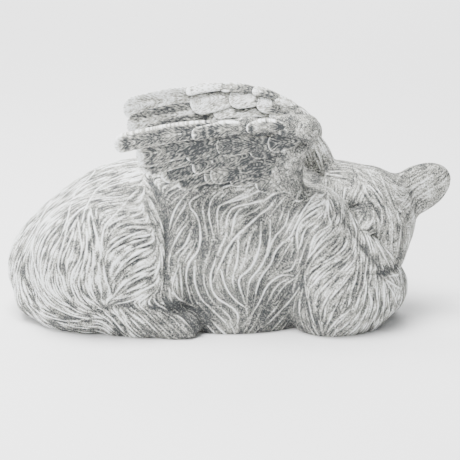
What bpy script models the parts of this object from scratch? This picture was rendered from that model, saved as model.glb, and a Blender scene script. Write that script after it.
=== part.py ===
"""A longhaired animal asleep on its belly with two raised wings, a garden memorial.

It is cast in one piece of a grey stone mix and stands on a flat underside. Units are metres, Z is
up and the head is at +X. The viewer's side is -Y. The origin is under the middle of its box.
"""

import math

import bmesh
import bpy
import numpy as np
from mathutils import Euler, Matrix, Vector

# Driving dimensions, in metres.
LENGTH = 0.3                # rump to the tip of the ear that points forward
LOCK_WIDTH = 0.0125         # one carved lock of fur, across
LOCK_DEPTH = 0.0015         # groove between two locks
ARM_THICKNESS = 0.020       # rounded leading edge of a wing, at its wrist
FEATHER_THICKNESS = 0.0046  # a flight feather, front to back
COVERT_THICKNESS = 0.0040   # one of the short feathers that overlap on both faces
FEATHER_STEP = 0.0016       # how far a feather's lower edge stands proud of its middle

# The figure's pose and proportions are shares of its length: one PART is a hundredth of it.
PART = LENGTH / 100
VOXEL = 0.43 * PART         # cell in which overlapping shapes are fused to one skin
TRIANGLES = 9300            # facets of the finished casting

# The wings are two mirrored sheets that lean outwards from the shoulders, in PARTs.
WING_SIDE = 12.3            # distance of a wing's sheet from the middle plane, at WING_FOOT
WING_FOOT = 31.7            # height where the sheets come out of the back
WING_LEAN = 0.28            # outward lean for each unit of height
WING_BEND = 1.1             # how far the sheet bows outwards between wrist and tip
FLIGHT_FEATHERS = 7
FEATHER_SPACING = 0.13      # from one flight feather to the next, as a share of the wing
COVERT_REACH = 0.3          # from the tip of a covert to its root, as a share of the wing
COVERT_ROWS = ((0.62, 0.34, 5.6, 0.55), (0.44, 0.26, 5.3, 1.15), (0.27, 0.16, 4.9, 1.75))
COVERTS_IN_A_ROW = 5

# Colour of the cast stone mix.
STONE_GREY = (0.47, 0.47, 0.455, 1.0)
STONE_ROUGHNESS = 0.82


def mass(centre, radii, tilt=(0, 0, 0), melt=3.0):
    """One rounded mass of the figure: lengths in PARTs, tilt in degrees about X, Y and Z."""
    turn = Euler([math.radians(angle) for angle in tilt]).to_matrix()
    return {"centre": Vector(centre) * PART, "radii": Vector(radii) * PART, "turn": turn,
            "melt": melt * PART}


def trunk():
    """Barrel of the body, rump, chest, belly, and the far haunch and shoulder."""
    return [
        mass((-19.3, 1.3, 14.0), (24.7, 20.0, 20.7), (0, -5, 0)),
        mass((-35.3, 1.3, 10.0), (15.0, 15.3, 13.3), melt=6),
        mass((0.7, 0.7, 13.3), (24.7, 20.3, 22.0), melt=6.5),
        mass((16.0, 0.7, 14.7), (14.7, 15.3, 18.0), melt=6.5),
        mass((0.7, 0.0, 3.3), (20.0, 19.5, 10.7), melt=4),
        mass((-26.0, 11.3, 14.0), (16.7, 11.3, 14.7), melt=3.3),
        mass((18.7, 11.3, 14.0), (11.3, 9.3, 14.7), melt=3.3),
    ]


def haunch():
    """Folded hind leg on the viewer's side, with its knee."""
    return [
        mass((-26.5, -9.7, 14.0), (17.7, 15.0, 15.7), (0, 0, 6)),
        mass((-16.7, -16.7, 10.0), (7.7, 6.5, 10.7), (0, 12, 0), melt=4),
    ]


def hind_foot():
    """Long hind foot that lies forward under the haunch, and its toes."""
    return [
        mass((-21.3, -17.5, 3.7), (12.0, 5.0, 4.9), (0, 0, -13)),
        mass((-11.3, -19.3, 2.3), (5.2, 3.9, 4.0), (0, 0, -10), melt=1.3),
    ]


def foreleg():
    """Shoulder and long-haired folded foreleg in front of the throat."""
    return [
        mass((18.0, -10.0, 20.7), (9.3, 9.3, 10.7), (0, 12, 0)),
        mass((26.0, -11.3, 9.3), (12.0, 10.3, 12.7), (0, 24, 0), melt=7),
        mass((22.0, -14.0, 7.3), (8.7, 8.7, 10.7), melt=4),
    ]


def paw():
    """Forepaw under the chin."""
    return [mass((33.0, -4.0, 6.7), (7.3, 8.7, 7.3))]


def tail():
    """Bushy tail that curls round the rump to the hind foot."""
    return [
        mass((-40.7, 7.0, 5.3), (6.3, 9.0, 5.8), (0, 0, 18)),
        mass((-42.0, -3.0, 5.0), (6.0, 9.0, 5.8), (0, 0, -14), melt=2.3),
        mass((-37.3, -12.3, 4.3), (7.7, 5.3, 5.2), (0, 0, -38), melt=2.3),
        mass((-32.3, -16.3, 3.7), (6.3, 3.8, 4.2), (0, 0, -28), melt=2),
    ]


def wing_roots():
    """Low swellings of the back that the hems of the two wings are bedded in."""
    return [
        mass((4.5, -12.3, 30.3), (12.5, 2.7, 3.3), (0, 2, 0)),
        mass((4.5, 12.3, 30.3), (12.5, 2.7, 3.3), (0, 2, 0), melt=0.1),
    ]


def neck():
    """Throat and nape behind the turned head."""
    return [mass((24.0, 4.7, 17.3), (11.3, 11.3, 13.3))]


def head():
    """Bowed head turned to the viewer's side, its muzzle tucked behind the foreleg, and the ears."""
    return [
        mass((30.3, -0.7, 23.3), (12.0, 10.3, 10.3), (0, 18, 0)),
        mass((34.3, -6.0, 16.7), (5.3, 6.7, 8.3), (-20, 8, 0), melt=4),
        mass((30.8, -8.6, 22.2), (3.9, 4.0, 3.1), melt=2),
        mass((42.7, 1.3, 28.0), (8.0, 2.0, 5.3), (0, -28, 0), melt=2),
        mass((18.7, 0.0, 33.5), (5.0, 2.7, 9.7), (0, -20, 0), melt=1.7),
    ]


def hollows():
    """Cups of the two ears and sockets of the closed eyes, taken out of the melted masses."""
    return [
        mass((43.6, 3.7, 28.8), (5.7, 1.9, 3.3), (0, -28, 0), melt=0.7),
        mass((17.6, -2.6, 33.3), (3.3, 1.9, 6.7), (0, -20, 0), melt=0.7),
        mass((26.8, -10.8, 27.2), (2.0, 1.1, 1.0), (0, 12, 0), melt=0.7),
        mass((32.6, -11.0, 26.8), (1.9, 1.1, 1.0), (0, 20, 0), melt=0.7),
    ]


# Each group of masses, and how widely it melts into the groups before it, in PARTs.
GROUPS = (
    (trunk, 1.0),
    (haunch, 3.0),
    (hind_foot, 1.3),
    (foreleg, 1.7),
    (paw, 2.3),
    (tail, 1.3),
    (wing_roots, 2.0),
    (neck, 4.0),
    (head, 0.8),
)


def reach(points, item):
    """Distance to a mass's surface, near enough close to it: k0 (k0 - 1) / k1 of an ellipsoid."""
    local = (points - np.array(item["centre"])) @ np.array(item["turn"])
    radii = np.array(item["radii"])
    k0 = np.linalg.norm(local / radii, axis=1)
    k1 = np.linalg.norm(local / radii**2, axis=1)
    return k0 * (k0 - 1) / np.maximum(k1, 1e-9)


def melted(near, other, width):
    """The lesser of two distances, rounded where they are within a width of each other."""
    overlap = np.maximum(width - np.abs(near - other), 0) / width
    return np.minimum(near, other) - overlap**2 * width / 4


def figure_reach(points):
    """Distance from points to the skin of the whole animal, its masses melted together."""
    whole = None
    for group, width in GROUPS:
        items = group()
        part = reach(points, items[0])
        for item in items[1:]:
            part = melted(part, reach(points, item), item["melt"])
        whole = part if whole is None else melted(whole, part, width * PART)
    for item in hollows():
        whole = -melted(-whole, reach(points, item), item["melt"])
    return whole


def figure_slope(points, step=0.1 * PART):
    """Direction in which the distance grows fastest, by central differences."""
    slope = np.empty_like(points)
    for axis in range(3):
        shift = np.zeros(3)
        shift[axis] = step
        slope[:, axis] = figure_reach(points + shift) - figure_reach(points - shift)
    return slope / (2 * step)


def settled(points, rounds=4):
    """Points moved along the slope until they lie on the figure's skin."""
    for _ in range(rounds):
        slope = figure_slope(points)
        steepness = np.maximum((slope**2).sum(axis=1), 0.2)
        points = points - slope * (figure_reach(points) / steepness)[:, None]
    return points


def ramp(values, low, high):
    """0 below low, 1 above high, and a smooth rise between them."""
    share = np.clip((values - low) / (high - low), 0, 1)
    return share * share * (3 - 2 * share)


def lock_phase(points):
    """Count of locks along the body: strands run from the spine back and down, in slow waves."""
    x, y, z = (points / PART).T
    rump, chest = -26.0, 26.0
    round_rump = rump - 17 * np.arctan2(rump - x, np.abs(y) + 3)
    round_chest = chest + 13 * np.arctan2(x - chest, np.abs(y) + 3)
    along = np.where(x < rump, round_rump, np.where(x > chest, round_chest, x))
    sway = 1.9 * np.sin(z / 4.6 + x / 11) + 1.1 * np.sin(y / 5 + x / 7)
    return (along + 0.4 * (np.abs(y) - z) + sway) * PART / LOCK_WIDTH


def fur_relief(points):
    """Height of the carved locks: round backs parted by narrow grooves, fading off the head."""
    x, y, z = (points / PART).T
    locks = np.abs(np.sin(np.pi * lock_phase(points)))**0.7
    off_head = 1 - 0.75 * ramp(x, 22, 28) * ramp(z, 17, 21)
    off_back = 1 - 0.6 * ramp(z, 31, 34)
    off_foot = 1 - 0.6 * ramp(-y, 17, 19.5) * (1 - ramp(z, 5, 8))
    return LOCK_DEPTH * (locks - 0.5) * off_head * off_back * off_foot


def rim(share):
    """Top edge of a wing from its wrist (0) to its tip (1): x and height, in PARTs."""
    drop = 8.0 * (2 * abs(0.5 - share))**2.2 if share < 0.5 else 6.3 * (2 * share - 1)**2
    return np.array([17.3 - 42.7 * share, 49.3 - drop])


def hem(share):
    """Lower edge of a wing from its root (0) to the last flight feather (1)."""
    return np.array([14.0 - 38.7 * share, 30.7 + 11.3 * share**3])


def on_wing(along, down):
    """A place on a wing's sheet: along it from wrist to tip, and down it from rim to hem."""
    return (1 - down) * rim(along) + down * hem(along)


def wing_place(flat, proud, side):
    """The point in space of a place on the sheet, raised by proud off its middle, on one side."""
    x, z = flat[0] * PART, flat[1] * PART
    bow = WING_BEND * PART * (1 - ((flat[0] + 4) / 22)**2)
    lean = 1 / math.hypot(1, WING_LEAN)
    y = (WING_SIDE + (flat[1] - WING_FOOT) * WING_LEAN) * PART + bow + proud * lean
    return Vector((x, side * y, z - proud * lean * WING_LEAN))


def feather(shape, root, tip, width, thickness, proud, side):
    """A closed blade from root to tip, its oval sections carried along it, its lower edge proud."""
    stations, corners = 9, 10
    step = math.copysign(FEATHER_STEP, proud)
    line = tip - root
    across = np.array([-line[1], line[0]]) / np.linalg.norm(line)
    rings = []
    for station in range(1, stations):
        share = 0.5 - 0.5 * math.cos(math.pi * station / stations)
        full = (1 - abs(2 * share - 1)**3)**0.5
        ring = []
        for corner in range(corners):
            angle = 2 * math.pi * corner / corners
            flat = root + line * share + across * (width / 2 * full * math.cos(angle))
            rise = proud + thickness / 2 * full**0.5 * math.sin(angle) + step * math.cos(angle)
            ring.append(shape.verts.new(wing_place(flat, rise, side)))
        rings.append(ring)
    for before, after in zip(rings, rings[1:]):
        for corner in range(corners):
            following = (corner + 1) % corners
            shape.faces.new((before[corner], before[following], after[following], after[corner]))
    shape.faces.new(reversed(rings[0]))
    shape.faces.new(rings[-1])


def wing_arm(shape, side):
    """Thick leading edge: it rises from the shoulder to the wrist and thins out along the rim."""
    stops = ((12.0, 28.0, 1.45), (15.7, 34.0, 1.15), (16.3, 40.3, 1.0), (12.7, 44.7, 0.8),
             (3.3, 47.3, 0.52), (-6.7, 48.3, 0.36))
    beads = 6
    for start, stop in zip(stops, stops[1:]):
        for bead in range(beads):
            x, z, size = np.array(start) + (np.array(stop) - np.array(start)) * bead / beads
            place = Matrix.Translation(wing_place((x, z), 0, side))
            bmesh.ops.create_uvsphere(shape, u_segments=14, v_segments=8,
                                      radius=size * ARM_THICKNESS / 2, matrix=place)


def wing(shape, side):
    """One wing: its arm, the long flight feathers, and rows of coverts on both faces."""
    wing_arm(shape, side)
    for number in range(FLIGHT_FEATHERS):
        tip = rim(1.0) if number == 0 else hem(1.03 - FEATHER_SPACING * number)
        root = on_wing(0.22, 0.08 + FEATHER_SPACING * number)
        feather(shape, root, tip, 5.7 + 0.33 * number, FEATHER_THICKNESS, 0, side)
    for row_start, slant, width, proud in COVERT_ROWS:
        for number in range(COVERTS_IN_A_ROW):
            down = (number + 0.4) / COVERTS_IN_A_ROW
            along = row_start - slant * down
            tip = on_wing(along, down)
            root = on_wing(along - COVERT_REACH, 0.9 * down)
            for face in (1, -1):
                feather(shape, root, tip, width, COVERT_THICKNESS, face * proud * PART, side)


def new_object(name, shape):
    """An object in the scene with the mesh of a bmesh, its faces turned outwards."""
    bmesh.ops.recalc_face_normals(shape, faces=shape.faces)
    mesh = bpy.data.meshes.new(name)
    shape.to_mesh(mesh)
    shape.free()
    item = bpy.data.objects.new(name, mesh)
    bpy.context.scene.collection.objects.link(item)
    return item


def bake(item):
    """Give an object the mesh that its modifiers make, and take the modifiers away."""
    graph = bpy.context.evaluated_depsgraph_get()
    mesh = bpy.data.meshes.new_from_object(item.evaluated_get(graph))
    item.modifiers.clear()
    old = item.data
    item.data = mesh
    bpy.data.meshes.remove(old)


def fuse(item, smoothing):
    """Fuse an object's overlapping shells to one skin, and ease the steps of its cells."""
    remesh = item.modifiers.new("one skin", "REMESH")
    remesh.mode = "VOXEL"
    remesh.voxel_size = VOXEL
    ease = item.modifiers.new("ease", "SMOOTH")
    ease.factor = 0.5
    ease.iterations = smoothing
    bake(item)


def vertex_places(mesh):
    """All vertex places of a mesh as an array of rows."""
    places = np.empty(len(mesh.vertices) * 3)
    mesh.vertices.foreach_get("co", places)
    return places.reshape(-1, 3)


def animal():
    """The sleeping animal: masses fused to one skin, melted together, and carved with locks."""
    shape = bmesh.new()
    for group, _ in GROUPS:
        for item in group():
            place = Matrix.LocRotScale(item["centre"], item["turn"], item["radii"])
            bmesh.ops.create_uvsphere(shape, u_segments=40, v_segments=24, radius=1, matrix=place)
    body = new_object("animal", shape)
    fuse(body, smoothing=2)
    skin = settled(vertex_places(body.data))
    outward = figure_slope(skin)
    outward /= np.maximum(np.linalg.norm(outward, axis=1), 1e-6)[:, None]
    skin = skin + outward * fur_relief(skin)[:, None]
    body.data.vertices.foreach_set("co", skin.ravel())
    body.data.update()
    return body


def with_wings(body):
    """The animal and its two wings, fused where the wings grow out of the shoulders."""
    shape = bmesh.new()
    for side in (-1, 1):
        wing(shape, side)
    shape.from_mesh(body.data)
    statue = new_object("winged_animal_statue", shape)
    fuse(statue, smoothing=3)
    bpy.data.objects.remove(body)
    return statue


def outer_skin(shape):
    """Keep the largest skin alone: the others are specks of air shut in between the feathers."""
    unseen, skins = set(shape.verts), []
    while unseen:
        edge_of_search, skin = [unseen.pop()], []
        while edge_of_search:
            vertex = edge_of_search.pop()
            skin.append(vertex)
            for edge in vertex.link_edges:
                other = edge.other_vert(vertex)
                if other in unseen:
                    unseen.remove(other)
                    edge_of_search.append(other)
        skins.append(skin)
    skins.sort(key=len)
    for skin in skins[:-1]:
        bmesh.ops.delete(shape, geom=skin, context="VERTS")


def cut_flat(statue):
    """Cut the casting level at Z = 0 and close it there with one flat face."""
    shape = bmesh.new()
    shape.from_mesh(statue.data)
    everything = list(shape.verts) + list(shape.edges) + list(shape.faces)
    cut = bmesh.ops.bisect_plane(shape, geom=everything, dist=0.00001, plane_co=(0, 0, 0),
                                 plane_no=(0, 0, -1), clear_outer=True)
    edges = [item for item in cut["geom_cut"] if isinstance(item, bmesh.types.BMEdge)]
    bmesh.ops.holes_fill(shape, edges=edges, sides=0)
    outer_skin(shape)
    bmesh.ops.triangulate(shape, faces=shape.faces)
    shape.to_mesh(statue.data)
    shape.free()


def facet(statue):
    """Thin the skin to its facets, most where it is flattest, and keep the underside level."""
    thin = statue.modifiers.new("facets", "DECIMATE")
    thin.ratio = TRIANGLES / len(statue.data.polygons)
    bake(statue)
    places = vertex_places(statue.data)
    places[np.abs(places[:, 2]) < 0.1 * PART, 2] = 0
    low, high = places.min(axis=0), places.max(axis=0)
    places[:, :2] -= (low + high)[:2] / 2
    statue.data.vertices.foreach_set("co", places.ravel())
    statue.data.update()


def stone():
    """Grey stone mix, matt all over."""
    material = bpy.data.materials.new("cast stone mix")
    material.use_nodes = True
    shader = material.node_tree.nodes["Principled BSDF"]
    shader.inputs["Base Color"].default_value = STONE_GREY
    shader.inputs["Roughness"].default_value = STONE_ROUGHNESS
    shader.inputs["Metallic"].default_value = 0.0
    return material


def build():
    """Clear the scene and make the statue."""
    for item in list(bpy.data.objects):
        bpy.data.objects.remove(item)
    statue = with_wings(animal())
    cut_flat(statue)
    facet(statue)
    statue.data.materials.append(stone())


build()
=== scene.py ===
"""The looks of a winged, sleeping animal cast in stone mix: a garden memorial.

Shapes are worked out in millimetres in the figure's own frame, X to the head, Z up and the viewer's
side at -Y, and go into the meshes in metres where the casting stands.
"""

import math
from itertools import product, takewhile

import bmesh
import bpy
import numpy as np
from mathutils import Euler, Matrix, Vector
from mathutils.kdtree import KDTree


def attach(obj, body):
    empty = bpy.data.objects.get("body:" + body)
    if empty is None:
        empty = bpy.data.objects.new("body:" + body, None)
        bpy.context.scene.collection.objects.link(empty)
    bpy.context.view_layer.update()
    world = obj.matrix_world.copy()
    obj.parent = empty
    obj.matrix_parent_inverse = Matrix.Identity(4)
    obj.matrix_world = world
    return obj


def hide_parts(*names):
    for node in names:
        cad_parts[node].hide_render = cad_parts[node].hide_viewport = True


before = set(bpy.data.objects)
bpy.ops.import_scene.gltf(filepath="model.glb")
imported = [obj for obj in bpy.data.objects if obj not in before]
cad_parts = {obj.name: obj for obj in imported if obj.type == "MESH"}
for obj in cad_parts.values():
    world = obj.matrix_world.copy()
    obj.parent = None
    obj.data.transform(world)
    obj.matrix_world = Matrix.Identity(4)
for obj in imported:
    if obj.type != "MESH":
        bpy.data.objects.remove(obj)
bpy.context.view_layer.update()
CASTING = "winged_animal_statue"

MM = 0.001
STAND = np.array([1.45, 2.7, 0.0])  # the figure's frame is set this far off the casting's, mm

# Cells of the fine skins, mm: each is about a pixel of the photograph.
COAT_CELL = 0.56
HEAD_CELL = 0.56
FAR_CELL = 1.10  # on the side away from the viewer
FAR_SIDE = 22.0  # where that side begins: Y
COARSE = 3  # the distance field is sampled this many cells apart

# Hair: lengths in mm. A pair is the amount on the thick coat, and what the bare flank adds to it.
COMB_X, COMB_Z, COMB_STEP = (-162, 164), (-6, 158), 2.0  # lattice that holds the hair's lie
LAY_FROM, LAY_MISSED, LAY_ROUNDS = -95, 40, 60  # Y where drawn lines start, and where they miss
SPREAD_CELL, STRAND_STEP = 8.0, 1.3  # cells that find near strands, and the step along a strand
PLACES_PER_SEED = 48  # places on the skin for each strand that is tried
RIDGE_LENGTH, RIDGE_WIDTH, GROOVE_LENGTH, GROOVE_WIDTH = 26.0, 0.50, 16.0, 0.55
GROOVE_GAP = 1.8  # distance between grooves over that between ridges
RIDGE_RISE, GROOVE_DEPTH = (0.55, 0.2), (1.0, -0.65)
FINE_RISE, BROAD_RISE = (0.24, -0.14), (0.38, -0.10)
ROUGH_RISE = 0.26  # of the rough skin without hair
COAT_FLANK = (0.55, 0.45)  # share of the flank's amounts that all hair has, and its addition
COAT_CREASE, HEAD_CREASE = (2.4, 1.5), (0.9, 0.9)  # widths and depths

# Paint and painted shade: tones from 0, dark, to 1, pale.
DARK_FLOOR, DARK_KNEE = 0.22, 0.35  # darkest tone of the wash and the painted shade, and where it begins to level off
COAT_TONE, RIDGE_TONE = (0.47, -0.11), (0.38, 0.24)
GROOVE_TONE, FINE_TONE = (0.40, -0.14), (0.19, -0.12)
BROAD_TONE, ROUGH_TONE, BRUSHED_TONE, CREASE_TONE = 0.03, 0.2, 0.14, 0.26
HAUNCH_CONTRAST, HAUNCH_TOP_SHADE, EAR_TONE = 0.6, 0.02, 0.05
SMALL_HOLLOW, GREAT_HOLLOW = 4.0, 14.0  # mm off the skin where its openness is read
# painted shade: darker in small and great hollows, where the dark wash adds to it, and near the ground
SMALL_SHADE, GREAT_SHADE, GROUND_SHADE = 0.28, 0.18, 0.13


# Masses of the figure

def mass(centre, radii, tilt=(0, 0, 0), melt=9.0):
    """One rounded mass: lengths in millimetres, tilt in degrees about X, Y and Z."""
    turn = np.array(Euler([math.radians(angle) for angle in tilt]).to_matrix())
    return np.array(centre, float), np.array(radii, float), turn, melt


TRUNK = [
    mass((-58, 4, 42), (74, 60, 62), (0, -5, 0)),
    mass((-106, 4, 30), (45, 46, 40), melt=18),
    mass((2, 2, 40), (74, 61, 66), melt=19),
    mass((48, 2, 44), (44, 46, 54), melt=19),
    mass((2, 0, 10), (60, 58.5, 32), melt=12),
    mass((-78, 34, 42), (50, 34, 44), melt=10),
    mass((56, 34, 42), (34, 28, 44), melt=10),
]
HAUNCH = [
    mass((-79.5, -29, 42), (53, 45, 47), (0, 0, 6)),
    mass((-50, -50, 30), (23, 19.5, 32), (0, 12, 0), melt=12),
]
HIND_FOOT = [
    mass((-64, -52.5, 11), (36, 15, 14.7), (0, 0, -13)),
    mass((-34, -58, 7), (15.6, 11.7, 12), (0, 0, -10), melt=4),
]
FORELEG = [
    mass((54, -30, 62), (28, 28, 32), (0, 12, 0)),
    mass((78, -34, 28), (36, 31, 38), (0, 24, 0), melt=21),
    mass((66, -42, 22), (26, 26, 32), melt=12),
]
PAW = [mass((99, -12, 20), (22, 26, 22))]
TAIL = [
    mass((-122, 21, 16), (19, 27, 17.4), (0, 0, 18)),
    mass((-126, -9, 15), (18, 27, 17.4), (0, 0, -14), melt=7),
    mass((-112, -37, 13), (23, 16, 15.6), (0, 0, -38), melt=7),
    mass((-97, -49, 11), (19, 11.4, 12.6), (0, 0, -28), melt=6),
]
WING_ROOTS = [mass((13.5, side * 36.9, 91), (37.5, 8, 10), (0, 2, 0), 0.3) for side in (-1, 1)]
NECK = [mass((72, 14, 52), (34, 34, 40))]
SKULL = [
    mass((91, -2, 70), (36, 31, 31), (0, 18, 0)),
    mass((103, -18, 50), (16, 20, 25), (-20, 8, 0), melt=12),
    mass((91.6, -27, 67), (10.6, 13.5, 9.2), (0, 10, 0), melt=5),
    mass((90.6, -39.5, 66.4), (4.2, 3.4, 3.2), melt=2),
    mass((72, 4, 85), (18, 18, 18.5), melt=8),
    mass((127.5, 4, 83.5), (24.5, 6, 16), (0, -30, 0), melt=7),
    mass((56, 0, 100.5), (15, 8, 29), (0, -20, 0), melt=5),
]
HOLLOWS = [
    mass((131, 11, 86.4), (17, 5.7, 10), (0, -28, 0), melt=2),
    mass((52.8, -7.8, 100), (10, 5.7, 20), (0, -20, 0), melt=2),
    mass((80.4, -31.5, 81.6), (5.0, 2.4, 1.6), (0, 12, 0), melt=2),
    mass((96.6, -34, 82.4), (2.6, 3.0, 2.4), (0, 40, 0), melt=2),
]
COAT_GROUPS = [(TRUNK, 3), (HAUNCH, 4), (HIND_FOOT, 4), (FORELEG, 5), (PAW, 7), (TAIL, 4),
               (WING_ROOTS, 6), (NECK, 12)]


# Distance fields

def reach(points, item):
    """Distance to a mass and its outward direction: k0 (k0 - 1) / k1, where k0 is the length of the
    place over the radii and k1 its length over their squares."""
    centre, radii, turn, _ = item
    scaled = (points - centre) @ turn / radii
    steep = scaled / radii
    k0 = np.sqrt(np.einsum("ij,ij->i", scaled, scaled))
    k1 = np.maximum(np.sqrt(np.einsum("ij,ij->i", steep, steep)), 1e-9)
    return k0 * (k0 - 1) / k1, (steep / k1[:, None]) @ turn.T


def limb(points, start, stop, thick, thin):
    """Distance to a tapered round limb, and its outward direction, from the nearest axis point."""
    line = stop - start
    share = np.clip((points - start) @ line / (line @ line), 0, 1)
    off = points - start - share[:, None] * line
    length = np.maximum(np.sqrt(np.einsum("ij,ij->i", off, off)), 1e-9)
    return length - (thick + (thin - thick) * share), off / length[:, None]


def melted(one, other, width):
    """The lesser of two distances, rounded where they are within a width of each other."""
    (near, near_way), (far, far_way) = one, other
    overlap = np.maximum(width - np.abs(near - far), 0) / width
    share = np.where(near < far, 1 - overlap / 2, overlap / 2)[:, None]
    return np.minimum(near, far) - overlap**2 * width / 4, near_way * share + far_way * (1 - share)


def hollowed(one, other, width):
    """A distance with another shape taken out of it, the new edge rounded by the width."""
    left, way = melted((-one[0], -one[1]), other, width)
    return -left, -way


def melted_masses(points, items):
    """All masses of one group melted together in turn."""
    whole = reach(points, items[0])
    for item in items[1:]:
        whole = melted(whole, reach(points, item), item[3])
    return whole


def coat_reach(points):
    """Distance to the animal without its head, with the arms of both wings."""
    whole = None
    for items, width in COAT_GROUPS:
        group = melted_masses(points, items)
        whole = group if whole is None else melted(whole, group, width)
    for side, stops in ((-1, NEAR_ARM), (1, FAR_ARM)):
        arm = None
        for (x, z, size), (next_x, next_z, next_size) in zip(stops, stops[1:]):
            start = wing_place(np.array([x, z]), 0.0, side)
            stop = wing_place(np.array([next_x, next_z]), 0.0, side)
            bone = limb(points, start, stop, size, next_size)
            arm = bone if arm is None else melted(arm, bone, 5)
        whole = melted(whole, arm, 7)
    dent = limb(points, wing_place(np.array([42, 130]), 9.0, -1),
                wing_place(np.array([47, 129]), 9.0, -1), 4.6, 4.6)
    knob = limb(points, wing_place(np.array([45, 124.5]), 6.0, -1),
                wing_place(np.array([48, 126]), 6.0, -1), 2.4, 2.4)
    return melted(hollowed(whole, dent, 3), knob, 2)


def head_reach(points):
    """Distance to the head and ears, with the cups of the ears and the eye sockets taken out."""
    whole = melted_masses(points, SKULL)
    for item in HOLLOWS:
        whole = hollowed(whole, reach(points, item), item[3])
    return whole


def finer(values, axis, times):
    """Values on a lattice that is so many times finer along an axis, by straight interpolation."""
    values = np.moveaxis(values, axis, 0)
    places = np.arange((len(values) - 1) * times + 1) / times
    below = np.minimum(places.astype(int), len(values) - 2)
    share = (places - below).astype(np.float32).reshape(-1, 1, 1)
    return np.moveaxis(values[below] * (1 - share) + values[below + 1] * share, 0, axis)


def skin(reach_of, low, high, cell):
    """Vertices and quads of a field's zero level: each cell that the level crosses holds one vertex,
    at the mean of the crossings on its edges, and each crossed edge joins its four cells."""
    low, high = np.array(low, float), np.array(high, float)
    count = np.ceil((high - low) / (cell * COARSE)).astype(int) + 1
    lattice = np.stack(np.meshgrid(*[np.arange(n) for n in count], indexing="ij"), -1)
    places = low + lattice.reshape(-1, 3) * (cell * COARSE)
    values = reach_of(places)[0].reshape(count).astype(np.float32)
    for axis in range(3):
        values = finer(values, axis, COARSE)
    inside = values < 0
    corners = np.array([[i, j, k] for i in (0, 1) for j in (0, 1) for k in (0, 1)])
    cells = np.array(values.shape) - 1
    hits = np.zeros(cells, np.int8)
    for i, j, k in corners:
        hits += inside[i:i + cells[0], j:j + cells[1], k:k + cells[2]]
    home = np.argwhere((hits > 0) & (hits < 8))
    number = np.full(cells, -1, np.int32)
    number[tuple(home.T)] = np.arange(len(home))
    at_corner = np.array([values[tuple((home + corner).T)] for corner in corners])
    total, crossings = np.zeros((len(home), 3)), np.zeros(len(home))
    for a in range(8):
        for b in range(a + 1, 8):
            if abs(corners[a] - corners[b]).sum() == 1:
                crossed = (at_corner[a] < 0) != (at_corner[b] < 0)
                share = at_corner[a] / np.where(crossed, at_corner[a] - at_corner[b], 1)
                point = corners[a] + share[:, None] * (corners[b] - corners[a])
                total += point * crossed[:, None]
                crossings += crossed
    vertices = low + (home + total / crossings[:, None]) * cell
    quads = []
    for axis in range(3):
        here, there = [slice(1, -1)] * 3, [slice(1, -1)] * 3
        here[axis], there[axis] = slice(0, -1), slice(1, None)
        crossed = inside[tuple(here)] != inside[tuple(there)]
        offset = np.ones(3, int)
        offset[axis] = 0
        edge = np.argwhere(crossed) + offset
        first, second = np.eye(3, dtype=int)[(axis + 1) % 3], np.eye(3, dtype=int)[(axis + 2) % 3]
        ring = [edge - first - second, edge - second, edge, edge - first]
        quad = np.stack([number[tuple(cell_of.T)] for cell_of in ring], 1)
        outwards = inside[tuple(edge.T)]
        quads.append(np.where(outwards[:, None], quad, quad[:, ::-1]))
    return vertices, np.concatenate(quads)


def settled(points, reach_of, rounds=3):
    """Points moved along the field's own direction until they lie on its zero level."""
    for _ in range(rounds):
        far, way = reach_of(points)
        steep = np.maximum(np.einsum("ij,ij->i", way, way), 0.3)
        points = points - way * np.clip(far / steep, -2, 2)[:, None]
    return points


def unit(ways):
    """Directions scaled to length one."""
    return ways / np.maximum(np.sqrt(np.einsum("ij,ij->i", ways, ways)), 1e-9)[:, None]


def ramp(values, low, high):
    """0 below low, 1 above high, and a smooth rise between them."""
    share = np.clip((values - low) / (high - low), 0, 1)
    return share * share * (3 - 2 * share)


# Carving of the hair

def lattice_noise(points, size, seed):
    """Smooth noise of about unit spread: random numbers on a lattice of that size, blended."""
    table = np.random.default_rng(seed).uniform(-1, 1, 8192).astype(np.float32)
    scaled = points / size
    base = np.floor(scaled).astype(np.int64)
    share = (scaled - base).astype(np.float32)
    share = share * share * (3 - 2 * share)
    total = np.zeros(len(points), np.float32)
    for corner in range(8):
        step = np.array([corner & 1, corner >> 1 & 1, corner >> 2])
        key = (base + step) @ np.array([73856093, 19349663, 83492791])
        weight = np.where(step, share, 1 - share).prod(axis=1)
        total += table[(key ^ (key >> 13)) & 8191] * weight
    return total


def eased(line, gap=1.0):
    """A drawn line as evenly spaced places, its corners cut three times over to round them."""
    line = np.array(line, float)
    for _ in range(3):
        early, late = 0.75 * line[:-1] + 0.25 * line[1:], 0.25 * line[:-1] + 0.75 * line[1:]
        line = np.concatenate([line[:1], np.stack([early, late], 1).reshape(-1, 2), line[-1:]])
    along = np.concatenate([[0], np.cumsum(np.hypot(*np.diff(line, axis=0).T))])
    places = np.linspace(0, along[-1], max(int(along[-1] / gap), 2) + 1)
    return np.stack([np.interp(places, along, line[:, 0]), np.interp(places, along, line[:, 1])], 1)


def combing(lines):
    """Lie of the hair on a lattice over the side view: the drawn lines, the nearest counting most,
    each with the weight 1 / (1 + (distance / 3 mm)^2)^2."""
    x, z = np.meshgrid(np.arange(*COMB_X, COMB_STEP), np.arange(*COMB_Z, COMB_STEP), indexing="ij")
    flat = np.stack([x, z], -1)
    total = np.zeros(flat.shape)
    for line in lines:
        bends = eased(line, 4.0)
        for start, end in zip(bends, bends[1:]):
            line_way = end - start
            share = np.clip((flat - start) @ line_way / (line_way @ line_way), 0, 1)
            off = flat - start - share[..., None] * line_way
            total += line_way / (1 + (off**2).sum(-1, keepdims=True) / 9)**2
    return total / np.maximum(np.hypot(*np.moveaxis(total, -1, 0)), 1e-9)[..., None]


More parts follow.
